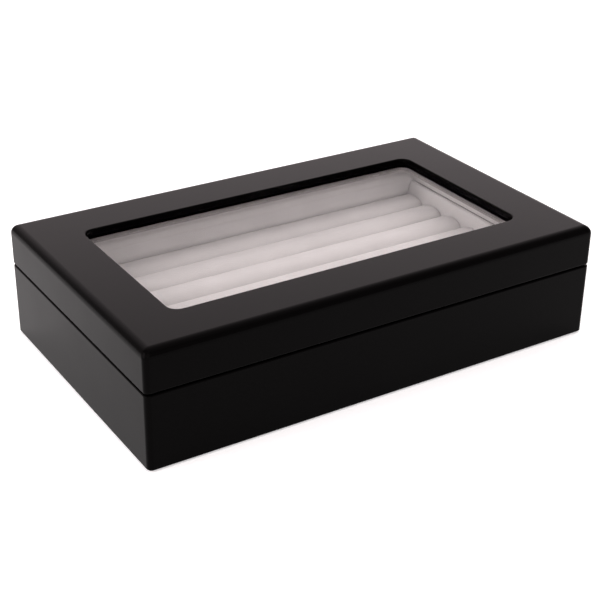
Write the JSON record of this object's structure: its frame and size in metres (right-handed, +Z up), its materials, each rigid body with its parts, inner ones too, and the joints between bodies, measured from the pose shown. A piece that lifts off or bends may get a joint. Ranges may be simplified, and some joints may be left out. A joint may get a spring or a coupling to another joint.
{
  "type": "cufflink display box",
  "caption": "Hinged, black lacquered wooden display box with a glass window in the lid and padded velvet rolls that hold cufflinks in the creases between them.",
  "frame": {"origin": "centre of the underside, on the surface the box stands on", "axes": "+X along the long side, +Y from the front to the hinge side, +Z up"},
  "size_m": [0.29, 0.1789, 0.07],
  "materials": {
    "black_lacquer": "satin black lacquer",
    "matt_black": "matt black paint",
    "velvet": "short-pile pale grey velvet",
    "foam": "open-cell foam",
    "glass": "clear, polished",
    "brass": "polished",
    "plywood": "bare, sanded",
    "felt": "black pressed felt",
    "rubber": "matte"
  },
  "bodies": {
    "base": {"base_back_lining": "velvet", "base_back_wall": "black_lacquer", "base_front_lining": "velvet", "base_front_wall": "black_lacquer", "base_hinge_screws": "brass", "base_left_lining": "velvet", "base_left_wall": "black_lacquer", "base_right_lining": "velvet", "base_right_wall": "black_lacquer", "board_bearers": "plywood", "bottom_felt": "felt", "bottom_panel": "plywood", "front_left_bumper": "rubber", "front_right_bumper": "rubber", "left_hinge_base_leaf": "brass", "left_hinge_pin": "brass", "right_hinge_base_leaf": "brass", "right_hinge_pin": "brass", "roll_1_core": "foam", "roll_1_cover": "velvet", "roll_2_core": "foam", "roll_2_cover": "velvet", "roll_3_core": "foam", "roll_3_cover": "velvet", "roll_4_core": "foam", "roll_4_cover": "velvet", "roll_5_core": "foam", "roll_5_cover": "velvet", "roll_6_core": "foam", "roll_6_cover": "velvet", "roll_7_core": "foam", "roll_7_cover": "velvet", "roll_board": "velvet"},
    "lid": {"ceiling_back_lining": "velvet", "ceiling_front_lining": "velvet", "ceiling_left_lining": "velvet", "ceiling_right_lining": "velvet", "glass_pane": "glass", "glazing_bead_back": "matt_black", "glazing_bead_front": "matt_black", "glazing_bead_left": "matt_black", "glazing_bead_right": "matt_black", "left_hinge_lid_leaf": "brass", "lid_back_lining": "velvet", "lid_back_rail": "black_lacquer", "lid_back_side": "black_lacquer", "lid_front_lining": "velvet", "lid_front_rail": "black_lacquer", "lid_front_side": "black_lacquer", "lid_hinge_screws": "brass", "lid_left_lining": "velvet", "lid_left_rail": "black_lacquer", "lid_left_side": "black_lacquer", "lid_right_lining": "velvet", "lid_right_rail": "black_lacquer", "lid_right_side": "black_lacquer", "right_hinge_lid_leaf": "brass"}
  },
  "joints": [
    {"name": "lid_hinge", "type": "hinge", "parent": "base", "child": "lid", "pos_m": [0, 0.0887, 0.0452], "axis": [-1, 0, 0], "range_deg": [0, 95]}
  ]
}
